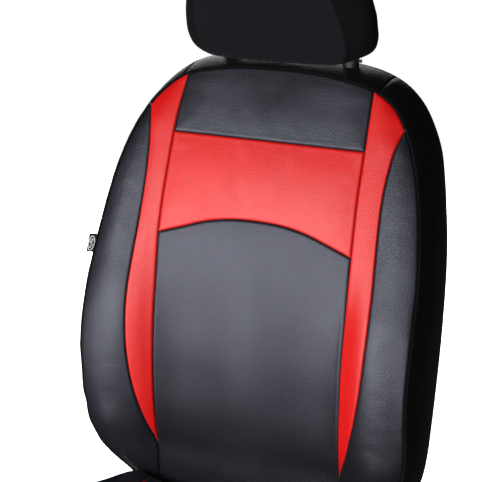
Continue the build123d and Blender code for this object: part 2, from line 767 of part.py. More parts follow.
# ---- rails --------------------------------------------------------------------------
FOOT_Y = BOLT_SPACING_Y / 2
rail_in = RAIL_X - RAIL_WIDTH / 2
rail_out = RAIL_X + RAIL_WIDTH / 2
with BuildPart() as lower_rail_r:
    add(box((rail_in, -RAIL_HALF_LENGTH, FOOT_THICK), (rail_out, RAIL_HALF_LENGTH, RAIL_TOP)))
    add(box((rail_in + RAIL_WALL, -RAIL_HALF_LENGTH, FOOT_THICK + RAIL_WALL),
            (rail_out - RAIL_WALL, RAIL_HALF_LENGTH, RAIL_TOP - RAIL_WALL)), mode=Mode.SUBTRACT)
    add(box((RAIL_X - 8, -RAIL_HALF_LENGTH, RAIL_TOP - 5),
            (RAIL_X + 8, RAIL_HALF_LENGTH, RAIL_TOP + 5)), mode=Mode.SUBTRACT)
    for y in (-FOOT_Y, FOOT_Y):
        with BuildSketch(Plane(origin=(RAIL_X, y, 0))):
            RectangleRounded(RAIL_WIDTH, FOOT_LENGTH, 8)
            Circle(BOLT_HOLE_R, mode=Mode.SUBTRACT)
        extrude(amount=FOOT_THICK)
save(lower_rail_r.part, "lower_rail_r")
save(flipped(lower_rail_r.part), "lower_rail_l")

BAR_PIVOT = (-130, 76)
with BuildPart() as upper_rail_r:
    add(box((RAIL_X - 16, -SLIDER_HALF_LENGTH, 7.4), (RAIL_X + 16, SLIDER_HALF_LENGTH, 26)))
    add(box((RAIL_X - 5, -SLIDER_HALF_LENGTH, 7.4), (RAIL_X + 5, SLIDER_HALF_LENGTH, 48)))
    add(box((RAIL_X - 20, -SLIDER_HALF_LENGTH, 46),
            (RAIL_X + 20, SLIDER_HALF_LENGTH, SLIDER_TOP)))
    add(box((180, BAR_PIVOT[0] - 14, 46), (185, BAR_PIVOT[0] + 14, 90)))
    add(shaft(170, 190, 5 + RUNNING_GAP, BAR_PIVOT), mode=Mode.SUBTRACT)
save(upper_rail_r.part, "upper_rail_r")
save(flipped(upper_rail_r.part), "upper_rail_l")

BAR_FRONT = -328
BAR_BEND = 10.0
with BuildPart() as rail_release_bar:
    add(bent_rod([
        (-186, *BAR_PIVOT), (-168, *BAR_PIVOT), (-168, BAR_FRONT, 92), (168, BAR_FRONT, 92),
        (168, *BAR_PIVOT), (186, *BAR_PIVOT),
    ], 5, BAR_BEND))
save(rail_release_bar.part, "rail_release_bar")
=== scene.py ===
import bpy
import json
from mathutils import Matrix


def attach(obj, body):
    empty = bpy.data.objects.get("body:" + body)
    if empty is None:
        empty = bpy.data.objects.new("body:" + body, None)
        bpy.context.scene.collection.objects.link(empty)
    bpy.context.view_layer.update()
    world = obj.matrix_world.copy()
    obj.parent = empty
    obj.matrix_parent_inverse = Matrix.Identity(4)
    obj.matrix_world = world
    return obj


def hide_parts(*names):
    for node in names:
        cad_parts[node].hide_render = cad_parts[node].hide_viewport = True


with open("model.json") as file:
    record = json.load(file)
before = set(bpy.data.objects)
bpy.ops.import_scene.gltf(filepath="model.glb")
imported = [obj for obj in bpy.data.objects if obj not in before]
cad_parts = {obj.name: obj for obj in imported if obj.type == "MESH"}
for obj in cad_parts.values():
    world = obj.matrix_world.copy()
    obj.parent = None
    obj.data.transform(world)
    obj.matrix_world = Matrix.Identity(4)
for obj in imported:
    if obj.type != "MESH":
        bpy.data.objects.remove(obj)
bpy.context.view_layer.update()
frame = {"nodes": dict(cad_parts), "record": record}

import json
import math
import bpy
import numpy as np
from mathutils import Matrix, Vector, noise

# The seat's own frames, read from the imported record. All sizes below are in millimetres.
JOINTS = {j["name"]: j for j in frame["record"]["behaviour"]["joints"]}
PIVOT = np.array(JOINTS["backrest_recline"]["pos_m"]) * 1000
UP = np.array(JOINTS["headrest_height"]["axis"])        # up the backrest
OUT = np.array([0.0, -UP[2], UP[1]])                    # forward, out of the leather
ORIGIN = PIVOT + 75 * UP + 30 * OUT                     # cushion crease


def leaned(p):
    """Points (x, up, out) of the backrest's own frame, in the row frame, in metres."""
    world = ORIGIN + p[..., 1:2] * UP + p[..., 2:3] * OUT
    world[..., 0] = p[..., 0]
    return world / 1000


def back_to_world(points):
    """Points of the backrest, with the unevenness of a cover pulled on by hand."""
    return leaned(uneven(np.asarray(points, float)))


def uneven(points):
    """The backrest's left side is a little fuller low down and tighter near the top."""
    x, up, out = points[..., 0], points[..., 1], points[..., 2]
    wide = np.abs(x)
    fuller = (np.interp(up, [60, 100, 125, 147, 182, 217, 252, 290, 335, 370, 410],
                        [0, 0, -1.5, 1.7, 3.5, 7, 6.5, 5, 3.3, 1, 0])
              * np.clip((wide - 185) / 55, 0, 1))
    tighter = (np.interp(up, [530, 570, 600, 640, 668], [0, 4, 7, 6, 0])
               * np.clip(-out / 50, 0, 1) * np.clip((wide - 60) / 90, 0, 1))
    seam_shift = (np.interp(up, [320, 400, 640], [0, 2.9, 2.4])
                  * np.clip(1 - np.abs(wide - 142) / 34, 0, 1))
    moved = points.copy()
    moved[..., 0] = np.where(x < 0, x - fuller + tighter - seam_shift, x)
    return moved


def head_to_world(points):
    """Headrest points; its right side is a little fuller below and tighter above."""
    p = np.array(points, float)
    change = np.interp(p[..., 1], [670, 705, 730, 760, 790], [0, 2.5, 1, -6, -8])
    p[..., 0] += change * np.clip(p[..., 0] / 130, 0, 1)
    p[..., 1] += (10 * np.clip(p[..., 0] / 110, 0, 1) * np.clip((715 - p[..., 1]) / 50, 0, 1)
                  * np.clip((13 - p[..., 2]) / 24, 0, 1))
    return leaned(p)


def to_metres(points):
    return np.asarray(points, float) / 1000


# ---- curves ----
def hermite(t, knots, values):
    """Smooth curve through values at knots; values may have several columns."""
    t = np.asarray(t, float)
    knots = np.asarray(knots, float)
    values = np.asarray(values, float)
    steps = np.diff(knots)
    shape = (-1,) + (1,) * (values.ndim - 1)
    slope = np.diff(values, axis=0) / steps.reshape(shape)
    tangent = np.empty_like(values)
    tangent[0], tangent[-1] = slope[0], slope[-1]
    w = (steps[1:] / (steps[:-1] + steps[1:])).reshape(shape)
    tangent[1:-1] = slope[:-1] * w + slope[1:] * (1 - w)
    i = np.clip(np.searchsorted(knots, t) - 1, 0, len(knots) - 2)
    h = steps[i]
    u = (t - knots[i]) / h
    u_ = u.reshape(u.shape + (1,) * (values.ndim - 1))
    h_ = h.reshape(h.shape + (1,) * (values.ndim - 1))
    return ((2 * u_**3 - 3 * u_**2 + 1) * values[i] + (u_**3 - 2 * u_**2 + u_) * h_ * tangent[i]
            + (3 * u_**2 - 2 * u_**3) * values[i + 1] + (u_**3 - u_**2) * h_ * tangent[i + 1])


def line(points, count=200):
    """A smooth line through points as a function of 0..1, even along its length."""
    points = np.asarray(points, float)
    chord = np.r_[0, np.cumsum(np.linalg.norm(np.diff(points, axis=0), axis=1))]
    dense = hermite(np.linspace(0, chord[-1], count), chord, points)
    length = np.r_[0, np.cumsum(np.linalg.norm(np.diff(dense, axis=0), axis=1))]

    def at(t):
        t = np.asarray(t, float) * length[-1]
        return np.stack([np.interp(t, length, dense[:, k]) for k in range(dense.shape[1])], -1)
    at.length = length[-1]
    return at


def marks(length, step, start=True, end=True):
    """Values 0..1 along a length, close together at the sewn ends."""
    fine = [0, 0.4, 0.9, 1.6, 2.5, 3.7, 5.2, 7.2, 10]
    a = fine if start else [0]
    b = [length - f for f in reversed(fine)] if end else [length]
    count = max(int(round((b[0] - a[-1]) / step)), 2)
    middle = np.linspace(a[-1], b[0], count + 1)[1:-1]
    return np.r_[a, middle, b] / length


# ---- the backrest's front surface ----
# Across the backrest at each height: insert edge, strip edge, bolster crest, front seam.
SECTIONS = [
    # up, centre out, then (x, out) four times
    (-60, -66, 142, -64, 146, -62, 149, -61, 152, -60),
    (-20, -52, 142, -50, 148, -47, 156, -46, 163, -46),
    (5, -47, 142, -44, 150, -41, 163, -38, 172, -40),
    (35, -40, 142, -36, 163, -26, 188, -20, 207, -26),
    (70, -31, 142.6, -26, 172, -8, 206, 1, 233, -6),
    (101, -19, 142.6, -12, 172, 7, 210, 18, 244, 10),
    (137, -5, 142.6, 2, 168, 19, 213, 28.5, 246, 25),
    (183, 9, 142.7, 15, 172, 34, 214, 40.5, 244, 39),
    (229, 19, 142.6, 25, 177, 45, 215, 48.5, 243, 46.5),
    (275, 25, 143, 31, 180, 50, 215, 51, 243, 48),
    (313, 28, 143.3, 33, 181, 48.5, 215, 50, 242.5, 45),
    (359, 29.5, 143.3, 33.5, 180, 41, 213, 42, 240, 37.5),
    (404, 29.5, 143.2, 32.5, 178, 34, 209, 36, 237.5, 30.5),
    (448, 26, 142.7, 29, 176.5, 28, 206, 28, 231.5, 23.5),
    (491, 19.5, 141.8, 22, 176.3, 21, 201, 19.5, 223.5, 15.5),
    (527, 12, 141.6, 14, 179, 13, 197, 10.5, 213, 6.5),
    (556, 5, 141.3, 7, 180, 6, 192, 3, 202, -1),
    (585, -3, 140.6, -1.5, 162, -3, 174, -5, 187, -8),
    (612, -11.5, 140, -10.5, 148, -12, 155, -13, 161, -15),
    (640, -20.5, 139.5, -20.5, 144, -22, 149, -23, 154, -24),
    (670, -31, 139, -31, 144, -32, 149, -33, 154, -34),
]


def lofted(x, along, sections):
    """Height of a padded surface through sections, at points across and along it."""
    x, along = np.abs(np.asarray(x, float)), np.asarray(along, float)
    rows = np.array(sections, float)
    centre = hermite(along, rows[:, 0], rows[:, 1])
    edge = hermite(along, rows[:, 0], rows[:, 2:].reshape(-1, 4, 2))
    xs = np.concatenate([-edge[..., :1, 0], np.zeros_like(edge[..., :1, 0]), edge[..., 0]], -1)
    heights = np.concatenate([edge[..., :1, 1], centre[..., None], edge[..., 1]], -1)
    return across(x, xs, heights)


def across(x, xs, ns):
    """Smooth interpolation where every point has its own knots."""
    slope = np.diff(ns, axis=-1) / np.diff(xs, axis=-1)
    h = np.diff(xs, axis=-1)
    tangent = np.empty_like(ns)
    tangent[..., 0], tangent[..., -1] = slope[..., 0], slope[..., -1]
    w = h[..., 1:] / (h[..., :-1] + h[..., 1:])
    tangent[..., 1:-1] = slope[..., :-1] * w + slope[..., 1:] * (1 - w)
    i = np.clip((x[..., None] > xs).sum(-1) - 1, 0, xs.shape[-1] - 2)

    def pick(a, k):
        return np.take_along_axis(a, k[..., None], -1)[..., 0]
    x0, hh = pick(xs, i), pick(h, i)
    u = np.clip((x - x0) / hh, -0.5, 1.5)
    return ((2 * u**3 - 3 * u**2 + 1) * pick(ns, i) + (u**3 - 2 * u**2 + u) * hh * pick(tangent, i)
            + (3 * u**2 - 2 * u**3) * pick(ns, i + 1)
            + (u**3 - u**2) * hh * pick(tangent, i + 1))


# ---- padded panels ----
def coons(low, high, left, right, u, v):
    """Points of a patch between four lines, at every u across and v along."""
    u_, v_ = u[None, :, None], v[:, None, None]
    a, b = low(u)[None], high(u)[None]
    c, d = left(v)[:, None], right(v)[:, None]
    corners = ((1 - u_) * (1 - v_) * low(0.0) + u_ * (1 - v_) * low(1.0)
               + (1 - u_) * v_ * high(0.0) + u_ * v_ * high(1.0))
    return (1 - v_) * a + v_ * b + (1 - u_) * c + u_ * d - corners


def normals_of(grid):
    """Unit normals of a grid of points."""
    du = np.gradient(grid, axis=1)
    dv = np.gradient(grid, axis=0)
    n = np.cross(du, dv)
    size = np.linalg.norm(n, axis=-1, keepdims=True)
    return np.where(size > 1e-9, n / np.maximum(size, 1e-9), 0)


def edge_distance(grid, sewn):
    """Distance along the surface to the nearest sewn edge: low, high, left, right."""
    along = np.linalg.norm(np.diff(grid, axis=0), axis=-1)
    over = np.linalg.norm(np.diff(grid, axis=1), axis=-1)
    v = np.concatenate([np.zeros((1, grid.shape[1])), np.cumsum(along, 0)], 0)
    u = np.concatenate([np.zeros((grid.shape[0], 1)), np.cumsum(over, 1)], 1)
    parts = [v, v[-1:] - v, u, u[:, -1:] - u]
    used = [p for p, on in zip(parts, sewn) if on]
    return np.minimum.reduce(used) if used else np.full(grid.shape[:2], 99.0)


def wobble(grid, scale, seed):
    """Smooth noise between -1 and 1 over a grid of points."""
    flat = grid.reshape(-1, 3) / scale + seed * 7.31
    values = [noise.noise(Vector(p)) for p in flat]
    return np.array(values).reshape(grid.shape[:2])


CROWN_REACH = 22.0              # mm from a seam over which the crown rises
SHOULDER_OUTER, SHOULDER_INNER = 10.0, 70.0     # the same, on either side of a shoulder
SLACK_SIZE, PUCKER_SIZE = 75.0, 11.0            # mm across one bump of the unevenness


def upholster(grid, sewn, seed, puff=3.0, roll=4.0, depth=3.4, pucker=0.35, slack=0.7,
              shoulder=0.0):
    """A padded panel from a plain grid: rolled sewn edges, a crown, and slight unevenness."""
    d = edge_distance(grid, sewn)
    near = np.clip(1 - d / roll, 0, 1)
    lift = -depth * (1 - np.sqrt(np.clip(1 - near**2, 0, 1)))
    lift += puff * (1 - np.exp(-d / CROWN_REACH))
    if shoulder:
        outer = edge_distance(grid, (0, 0, 0, 1) if shoulder > 0 else (0, 0, 1, 0))
        inner = edge_distance(grid, (0, 0, 1, 0) if shoulder > 0 else (0, 0, 0, 1))
        lift += (abs(shoulder) * (1 - np.exp(-outer / SHOULDER_OUTER))
                 * (1 - np.exp(-inner / SHOULDER_INNER)))
    lift += slack * wobble(grid, SLACK_SIZE, seed) * (1 - np.exp(-d / 30.0))
    lift += (pucker * wobble(grid, PUCKER_SIZE, seed + 3) * np.exp(-d / 12.0)
             * np.clip(d / 3, 0, 1))
    return grid + normals_of(grid) * lift[..., None]


SHAPE_OF = {}           # rows and columns of every grid mesh, by its name
WELD_GAP = 0.00002      # metres
HELD_ROWS = 8           # rows of points along a sewn rim that the simulation keeps still


def welded(obj):
    """Joins the points that meet at a closed seam or a patch's tip."""
    obj.modifiers.new("weld", "WELD").merge_threshold = WELD_GAP
    return obj


def grid_mesh(name, grid, place=back_to_world, close_u=False):
    """A mesh object from a grid of points."""
    rows, cols = grid.shape[:2]
    points = place(grid).reshape(-1, 3)
    faces = []
    last = cols if close_u else cols - 1
    for j in range(rows - 1):
        for i in range(last):
            a = j * cols + i
            b = j * cols + (i + 1) % cols
            faces.append((a, b, b + cols, a + cols))
    mesh = bpy.data.meshes.new(name)
    mesh.from_pydata(points.tolist(), [], faces)
    mesh.validate()
    for polygon in mesh.polygons:
        polygon.use_smooth = True
    obj = bpy.data.objects.new(name, mesh)
    bpy.context.scene.collection.objects.link(obj)
    SHAPE_OF[name] = (rows, cols)
    return welded(obj)


def settle(obj, air, most, frames=12):
    """A short cloth simulation: the sewn rim is held and air pressure fills the panel.

    The movement is then scaled, so that almost no point moves by more than most, in mm.
    """
    rows, cols = SHAPE_OF[obj.name]
    obj.modifiers.clear()
    held = [j * cols + i for j in range(rows) for i in range(cols)
            if min(j, rows - 1 - j, i, cols - 1 - i) < HELD_ROWS]
    rim = obj.vertex_groups.new(name="sewn")
    rim.add(held, 1.0, "REPLACE")
    cloth_modifier = obj.modifiers.new("cloth", "CLOTH")
    settings = cloth_modifier.settings
    settings.quality = 4
    settings.mass = 0.25
    settings.vertex_group_mass = "sewn"
    settings.bending_stiffness = 0.3
    settings.shrink_min = -0.015
    settings.use_pressure = True
    settings.uniform_pressure_force = air
    settings.effector_weights.gravity = 0.0
    cloth_modifier.collision_settings.use_collision = False
    cloth_modifier.point_cache.frame_start = 1
    cloth_modifier.point_cache.frame_end = frames
    for frame_number in range(1, frames + 1):
        bpy.context.scene.frame_set(frame_number)
    shaped = obj.evaluated_get(bpy.context.evaluated_depsgraph_get()).to_mesh()
    before = np.empty(len(obj.data.vertices) * 3)
    after = np.empty_like(before)
    obj.data.vertices.foreach_get("co", before)
    shaped.vertices.foreach_get("co", after)
    move = np.nan_to_num(after - before).reshape(-1, 3)
    length = np.linalg.norm(move, axis=1)
    top = np.percentile(length, 98)
    if 1e-6 < top < 0.5:
        move *= (most / 1000) / np.maximum(length, top)[:, None]
        obj.data.vertices.foreach_set("co", (before.reshape(-1, 3) + move).ravel())
        obj.data.update()
    obj.modifiers.clear()
    bpy.context.scene.frame_set(1)
    welded(obj)


def finish_piece(obj, body, material, nodes=(), thick=2.4):
    """Thickness, material, body and the CAD nodes that a piece stands for."""
    if thick:
        obj.modifiers.new("thickness", "SOLIDIFY").thickness = thick / 1000
    obj.data.materials.append(material)
    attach(obj, body)
    if nodes:
        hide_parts(*nodes)


def mirror_grid(grid):
    """The same grid on the other side, with its rows turned to keep its outward side."""
    flipped = grid[:, ::-1].copy()
    flipped[..., 0] *= -1
    return flipped


def panel(name, nodes, grid, sewn, seed, body, material, fill=None, place=back_to_world,
          thick=2.4, air=None, most=1.6, **padding):
    """A padded panel in place of CAD nodes; one that has air pressure is simulated."""
    piece = grid_mesh(name, upholster(grid, sewn, seed, **padding), place)
    if air:
        settle(piece, air, most)
    finish_piece(piece, body, material, nodes, thick)


def pair(name, node, grid, sewn, seed, *rest, shoulder=0.0, **others):
    """A padded panel on the right and its mirror image on the left."""
    panel(name + "_r", [node + "_r"], grid, sewn, seed, *rest, shoulder=shoulder, **others)
    panel(name + "_l", [node + "_l"], mirror_grid(grid), sewn, seed + 1, *rest,
          shoulder=-shoulder, **others)


def tube(name, points, radius, body, material, place=back_to_world, closed=False, sides=8):
    """A thin round thread or piping along a line of points."""
    p = np.asarray(points, float)
    if closed:
        tangent = np.roll(p, -1, 0) - np.roll(p, 1, 0)
    else:
        tangent = np.gradient(p, axis=0)
    tangent /= np.maximum(np.linalg.norm(tangent, axis=1, keepdims=True), 1e-9)
    ref = np.array([0.3, 0.2, 0.93])
    a = np.cross(tangent, ref)
    a /= np.linalg.norm(a, axis=1, keepdims=True)
    b = np.cross(tangent, a)
    turn = np.linspace(0, 2 * np.pi, sides, endpoint=False)
    ring = (np.cos(turn)[None, :, None] * a[:, None] + np.sin(turn)[None, :, None] * b[:, None])
    grid = p[:, None] + radius * ring
    if closed:
        grid = np.concatenate([grid, grid[:1]], 0)
    finish_piece(grid_mesh(name, grid, place, close_u=True), body, material, thick=0)


# ---- materials ----
def new_material(name):
    material = bpy.data.materials.new(name)
    material.use_nodes = True
    tree = material.node_tree
    return material, tree.nodes, tree.links, tree.nodes["Principled BSDF"]


def scaled_coordinates(nodes, links, scale):
    coords = nodes.new("ShaderNodeTexCoord")
    mapping = nodes.new("ShaderNodeMapping")
    mapping.inputs["Scale"].default_value = scale
    links.new(coords.outputs["Object"], mapping.inputs["Vector"])
    return mapping.outputs["Vector"]


def noise_value(nodes, links, where, scale, detail):
    texture = nodes.new("ShaderNodeTexNoise")
    texture.inputs["Scale"].default_value = scale
    texture.inputs["Detail"].default_value = detail
    links.new(where, texture.inputs["Vector"])
    return texture.outputs["Fac"]


def maths(nodes, links, operation, *inputs):
    """A math node whose inputs are numbers or sockets."""
    node = nodes.new("ShaderNodeMath")
    node.operation = operation
    for socket, value in zip(node.inputs, inputs):
        if isinstance(value, float):
            socket.default_value = value
        else:
            links.new(value, socket)
    return node.outputs[0]


def embossed(nodes, links, bsdf, value, strength, depth, inward=False):
    """Bump from a texture value; depth is in metres."""
    bump = nodes.new("ShaderNodeBump")
    bump.inputs["Strength"].default_value = strength
    bump.inputs["Distance"].default_value = depth
    bump.invert = inward
    links.new(value, bump.inputs["Height"])
    links.new(bump.outputs["Normal"], bsdf.inputs["Normal"])


def uneven_gloss(nodes, links, bsdf, value, low, high):
    gloss = nodes.new("ShaderNodeMapRange")
    gloss.inputs["To Min"].default_value = low
    gloss.inputs["To Max"].default_value = high
    links.new(value, gloss.inputs["Value"])
    links.new(gloss.outputs["Result"], bsdf.inputs["Roughness"])


def ramp(nodes, links, value, low, high, stops=(0.3, 0.7)):
    node = nodes.new("ShaderNodeValToRGB")
    node.color_ramp.elements[0].position = stops[0]
    node.color_ramp.elements[1].position = stops[1]
    node.color_ramp.elements[0].color = (*low, 1)
    node.color_ramp.elements[1].color = (*high, 1)
    links.new(value, node.inputs["Fac"])
    return node.outputs["Color"]


def leatherette(name, dark, light, rough=0.42, grain=1.0, bump=0.35, shine=(1, 1, 1)):
    """Embossed artificial leather: wide flat pebbles, finer pores, uneven gloss."""
    material, nodes, links, bsdf = new_material(name)
    wide = scaled_coordinates(nodes, links, (430 / grain, 430 / grain, 860 / grain))
    pebble = nodes.new("ShaderNodeTexVoronoi")
    pebble.feature = "SMOOTH_F1"
    pebble.inputs["Scale"].default_value = 1.0
    pebble.inputs["Smoothness"].default_value = 0.35
    pebble.inputs["Randomness"].default_value = 1.0
    links.new(wide, pebble.inputs["Vector"])
    fine = scaled_coordinates(nodes, links, (1500, 1500, 2300))
    pores = noise_value(nodes, links, fine, 1.0, 3.0)
    cloud = noise_value(nodes, links, scaled_coordinates(nodes, links, (9, 9, 9)), 1.0, 4.0)
    pebbles = pebble.outputs["Distance"]
    relief = maths(nodes, links, "MULTIPLY_ADD", pores, 0.25, pebbles)
    embossed(nodes, links, bsdf, relief, bump, 0.0007, inward=True)
    tint = nodes.new("ShaderNodeMix")
    tint.data_type = "RGBA"
    tint.inputs["A"].default_value = (*dark, 1)
    tint.inputs["B"].default_value = (*light, 1)
    lift = maths(nodes, links, "ADD", cloud, 0.45)
    links.new(maths(nodes, links, "MULTIPLY_ADD", pebbles, -0.9, lift), tint.inputs["Factor"])
    links.new(tint.outputs["Result"], bsdf.inputs["Base Color"])
    uneven_gloss(nodes, links, bsdf, cloud, rough - 0.07, rough + 0.1)
    bsdf.inputs["Specular IOR Level"].default_value = 0.5
    bsdf.inputs["Specular Tint"].default_value = (*shine, 1)
    return material


def cloth(name, dark, light, thread=0.0011, rough=0.85, bump=0.4, spec=0.2, sheen=0.1):
    """Knitted or woven fabric: rows of small loops crossed by ribs."""
    material, nodes, links, bsdf = new_material(name)
    where = scaled_coordinates(nodes, links, (1, 1, 1))
    ribs = []
    for direction in ("X", "Z"):
        wave = nodes.new("ShaderNodeTexWave")
        wave.bands_direction = direction
        wave.inputs["Scale"].default_value = 0.314 / thread / (1.0 if direction == "X" else 1.3)
        wave.inputs["Distortion"].default_value = 1.2
        wave.inputs["Detail"].default_value = 2.0
        wave.inputs["Detail Scale"].default_value = 2.0
        links.new(where, wave.inputs["Vector"])
        ribs.append(wave.outputs["Fac"])
    weave = maths(nodes, links, "MULTIPLY", *ribs)
    fuzz = noise_value(nodes, links, where, 900.0, 2.0)
    relief = maths(nodes, links, "MULTIPLY_ADD", fuzz, 0.5, weave)
    embossed(nodes, links, bsdf, relief, bump, 0.0005)
    colour = ramp(nodes, links, relief, dark, light, (0.2, 1.1))
    links.new(colour, bsdf.inputs["Base Color"])
    bsdf.inputs["Roughness"].default_value = rough
    bsdf.inputs["Specular IOR Level"].default_value = spec
    bsdf.inputs["Sheen Weight"].default_value = sheen
    bsdf.inputs["Sheen Roughness"].default_value = 0.4
    return material


def hard(name, colour, metallic=0.0, rough=0.45, scale=300.0, bump=0.15, spread=0.12):
    """Moulded plastic or metal with fine texture and uneven gloss."""
    material, nodes, links, bsdf = new_material(name)
    where = scaled_coordinates(nodes, links, (1, 1, 1))
    broad = noise_value(nodes, links, where, 14.0, 5.0)
    embossed(nodes, links, bsdf, noise_value(nodes, links, where, scale, 3.0), bump, 0.0003)
    low = tuple(c * 0.8 for c in colour)
    high = tuple(min(c * 1.2 + 0.004, 1) for c in colour)
    links.new(ramp(nodes, links, broad, low, high), bsdf.inputs["Base Color"])
    uneven_gloss(nodes, links, bsdf, broad, max(rough - spread, 0.05), rough + spread)
    bsdf.inputs["Metallic"].default_value = metallic
    return material


BLACK = leatherette("look_black_leatherette", (0.0042, 0.0044, 0.0062), (0.0085, 0.0088, 0.0115),
                    shine=(0.88, 0.9, 1.08))
RED = leatherette("look_red_leatherette", (0.43, 0.0011, 0.0006), (0.58, 0.0022, 0.0012), rough=0.45,
                  bump=0.28)
FABRIC = cloth("look_black_fabric", (0.0009, 0.0012, 0.0012), (0.0045, 0.005, 0.005),
               spec=0.08, sheen=0.02)
KNIT = cloth("look_headrest_knit", (0.0008, 0.0014, 0.0026), (0.0026, 0.0042, 0.0072),
             thread=0.0013, spec=0.14, sheen=0.12)
THREAD = cloth("seam_thread", (0.002, 0.002, 0.002), (0.006, 0.006, 0.006), thread=0.0008)
WEBBING = cloth("elastic_webbing", (0.008, 0.008, 0.009), (0.022, 0.022, 0.024), thread=0.0016)
LABEL = cloth("label_weave", (0.004, 0.004, 0.004), (0.012, 0.012, 0.012), thread=0.0007)
LABEL_MARK = cloth("label_mark", (0.5, 0.5, 0.5), (0.75, 0.75, 0.75), thread=0.0007)
PLASTIC = hard("look_black_plastic", (0.006, 0.006, 0.0065), rough=0.5, scale=900, bump=0.3)
PAINT = hard("look_painted_steel", (0.018, 0.018, 0.019), rough=0.38, scale=120, bump=0.08)
ZINC = hard("look_zinc_steel", (0.55, 0.54, 0.5), metallic=1.0, rough=0.36, scale=200, bump=0.06)
POSTS = hard("post_steel", (0.012, 0.012, 0.013), metallic=0.3, rough=0.3, scale=80, bump=0.03)

# ---- backrest: seam lines ----
def insert_edge(up):
    rows = np.array(SECTIONS, float)
    return hermite(up, rows[:, 0], rows[:, 2])


STRIP_EDGE = [
    (142.8, 63), (146.2, 79), (153.8, 101), (162.7, 137), (171.8, 183), (177.3, 229),
    (180, 275), (180.8, 313), (180, 359), (177.9, 404), (176.4, 448), (176.5, 491),
    (179.6, 527), (184.5, 556), (191.5, 578.5),
]
FRONT_SEAM = [
    (152, -60), (163, -20), (172, 5), (183, 18), (206, 34), (227.5, 56), (235.5, 74), (243, 97),
    (245.5, 120), (245.8, 142), (244, 183), (243, 229), (243, 275), (242.2, 327), (239.3, 389),
    (233.5, 436), (225.5, 483), (215.5, 522), (204, 553.5), (191.5, 578.5), (176.5, 600.5), (159, 617),
    (139.8, 628), (124, 633.5), (97, 639), (70, 643), (35, 645.7), (0, 646.5),
]
REAR_SEAM = [
    (150, -55), (180, -20), (210, 2), (234, 28), (247, 52), (254, 80), (257, 110), (258, 150),
    (258.5, 200), (258.5, 258), (257, 330), (254.5, 385), (250.5, 430), (245, 470), (237.5, 516),
    (229.5, 552), (216, 585), (197, 616), (170, 641), (139, 655.5), (103, 663.5), (60, 667),
    (30, 667), (0, 668),
]
ARCH = [(-144, 398.5), (-107, 412), (-75, 423), (-38, 430), (0, 431.8), (38, 430), (75, 423),
        (107, 412), (144, 398.5)]
# Heights up the backrest, in mm above the cushion crease.
LOW = -55.0             # hem of the front panels
STRIP_FOOT = 63.0       # lower tip of the side strips
YOKE_TOP = 545.0        # straight seam between the yoke and the upper panel
STRIP_CORNER = 578.5    # where the strip's outer edge meets the front seam
INSERT_TOP = 628.0      # where the insert edge meets the front seam

front_seam = line(FRONT_SEAM, 800)
front_table = front_seam(np.linspace(0, 1, 1600))
corner_t = np.interp(STRIP_CORNER, front_table[:, 1], np.linspace(0, 1, 1600))
tip_t = np.interp(INSERT_TOP, front_table[:, 1], np.linspace(0, 1, 1600))


def along(curve, a, b):
    """Part of a line, from a to b."""
    return lambda t: curve(a + (b - a) * np.asarray(t, float))


def straight(p, q):
    p, q = np.asarray(p, float), np.asarray(q, float)
    return lambda t: p + (q - p) * np.asarray(t, float)[..., None]


def insert_line(side, low, high):
    """The centre insert's edge on one side, between two heights."""
    def at(t):
        up = low + (high - low) * np.asarray(t, float)
        return np.stack([side * insert_edge(up), up], -1)
    return at


def raised(flat):
    """Flat points (x, up) lifted onto the backrest's front surface."""
    return np.concatenate([flat, lofted(flat[..., 0], flat[..., 1], SECTIONS)[..., None]], -1)


def with_mirror(half):
    """Rows that end on the middle plane, carried on by their mirror image."""
    other = half[::-1].copy()
    other[..., 0] *= -1
    return np.concatenate([half, other[1:]], 0)


# the front seam's top, as a height for every x
seam_x = np.linspace(-140, 140, 281)
half = np.array([(x, up) for x, up in FRONT_SEAM if up >= 615], float)[::-1]
seam_up = hermite(np.abs(seam_x), half[:, 0], half[:, 1])


def over(half_width, xs, ups):
    """A line from left to right, as high at every x as a table says."""
    def at(t):
        x = half_width * (2 * np.asarray(t, float) - 1)
        return np.stack([x, np.interp(x, xs, ups)], -1)
    return at


def level_line(half_width, up):
    return straight((-half_width, up), (half_width, up))


top_line = over(139.8, seam_x, seam_up)
arch_line = over(143.2, *line(ARCH, 300)(np.linspace(0, 1, 400)).T)
yoke_line = level_line(insert_edge(YOKE_TOP), YOKE_TOP)
ARCH_END = float(arch_line(1.0)[1])

# centre insert: upper panel, yoke and centre panel
u = marks(283, 7)
grid = raised(coons(yoke_line, top_line, insert_line(-1, YOKE_TOP, INSERT_TOP),
                    insert_line(1, YOKE_TOP, INSERT_TOP), u, marks(90, 6)))
panel("back_upper_cover", ["back_upper_panel"], grid, (1, 1, 1, 1), 1, "backrest", BLACK, 0.9,
      air=7.0, puff=1.3)

grid = raised(coons(arch_line, yoke_line, insert_line(-1, ARCH_END, YOKE_TOP),
                    insert_line(1, ARCH_END, YOKE_TOP), u, marks(125, 6)))
panel("back_yoke_cover", ["back_yoke"], grid, (1, 1, 1, 1), 2, "backrest", RED, 0.9, air=8.0,
      puff=1.4)

grid = raised(coons(level_line(142, LOW), arch_line, insert_line(-1, LOW, ARCH_END),
                    insert_line(1, LOW, ARCH_END), u, marks(480, 7, start=False)))
panel("back_centre_cover", ["back_centre_panel", "back_foam"], grid, (0, 1, 1, 1), 3, "backrest",
      BLACK, 0.9, air=6.0, puff=1.6)

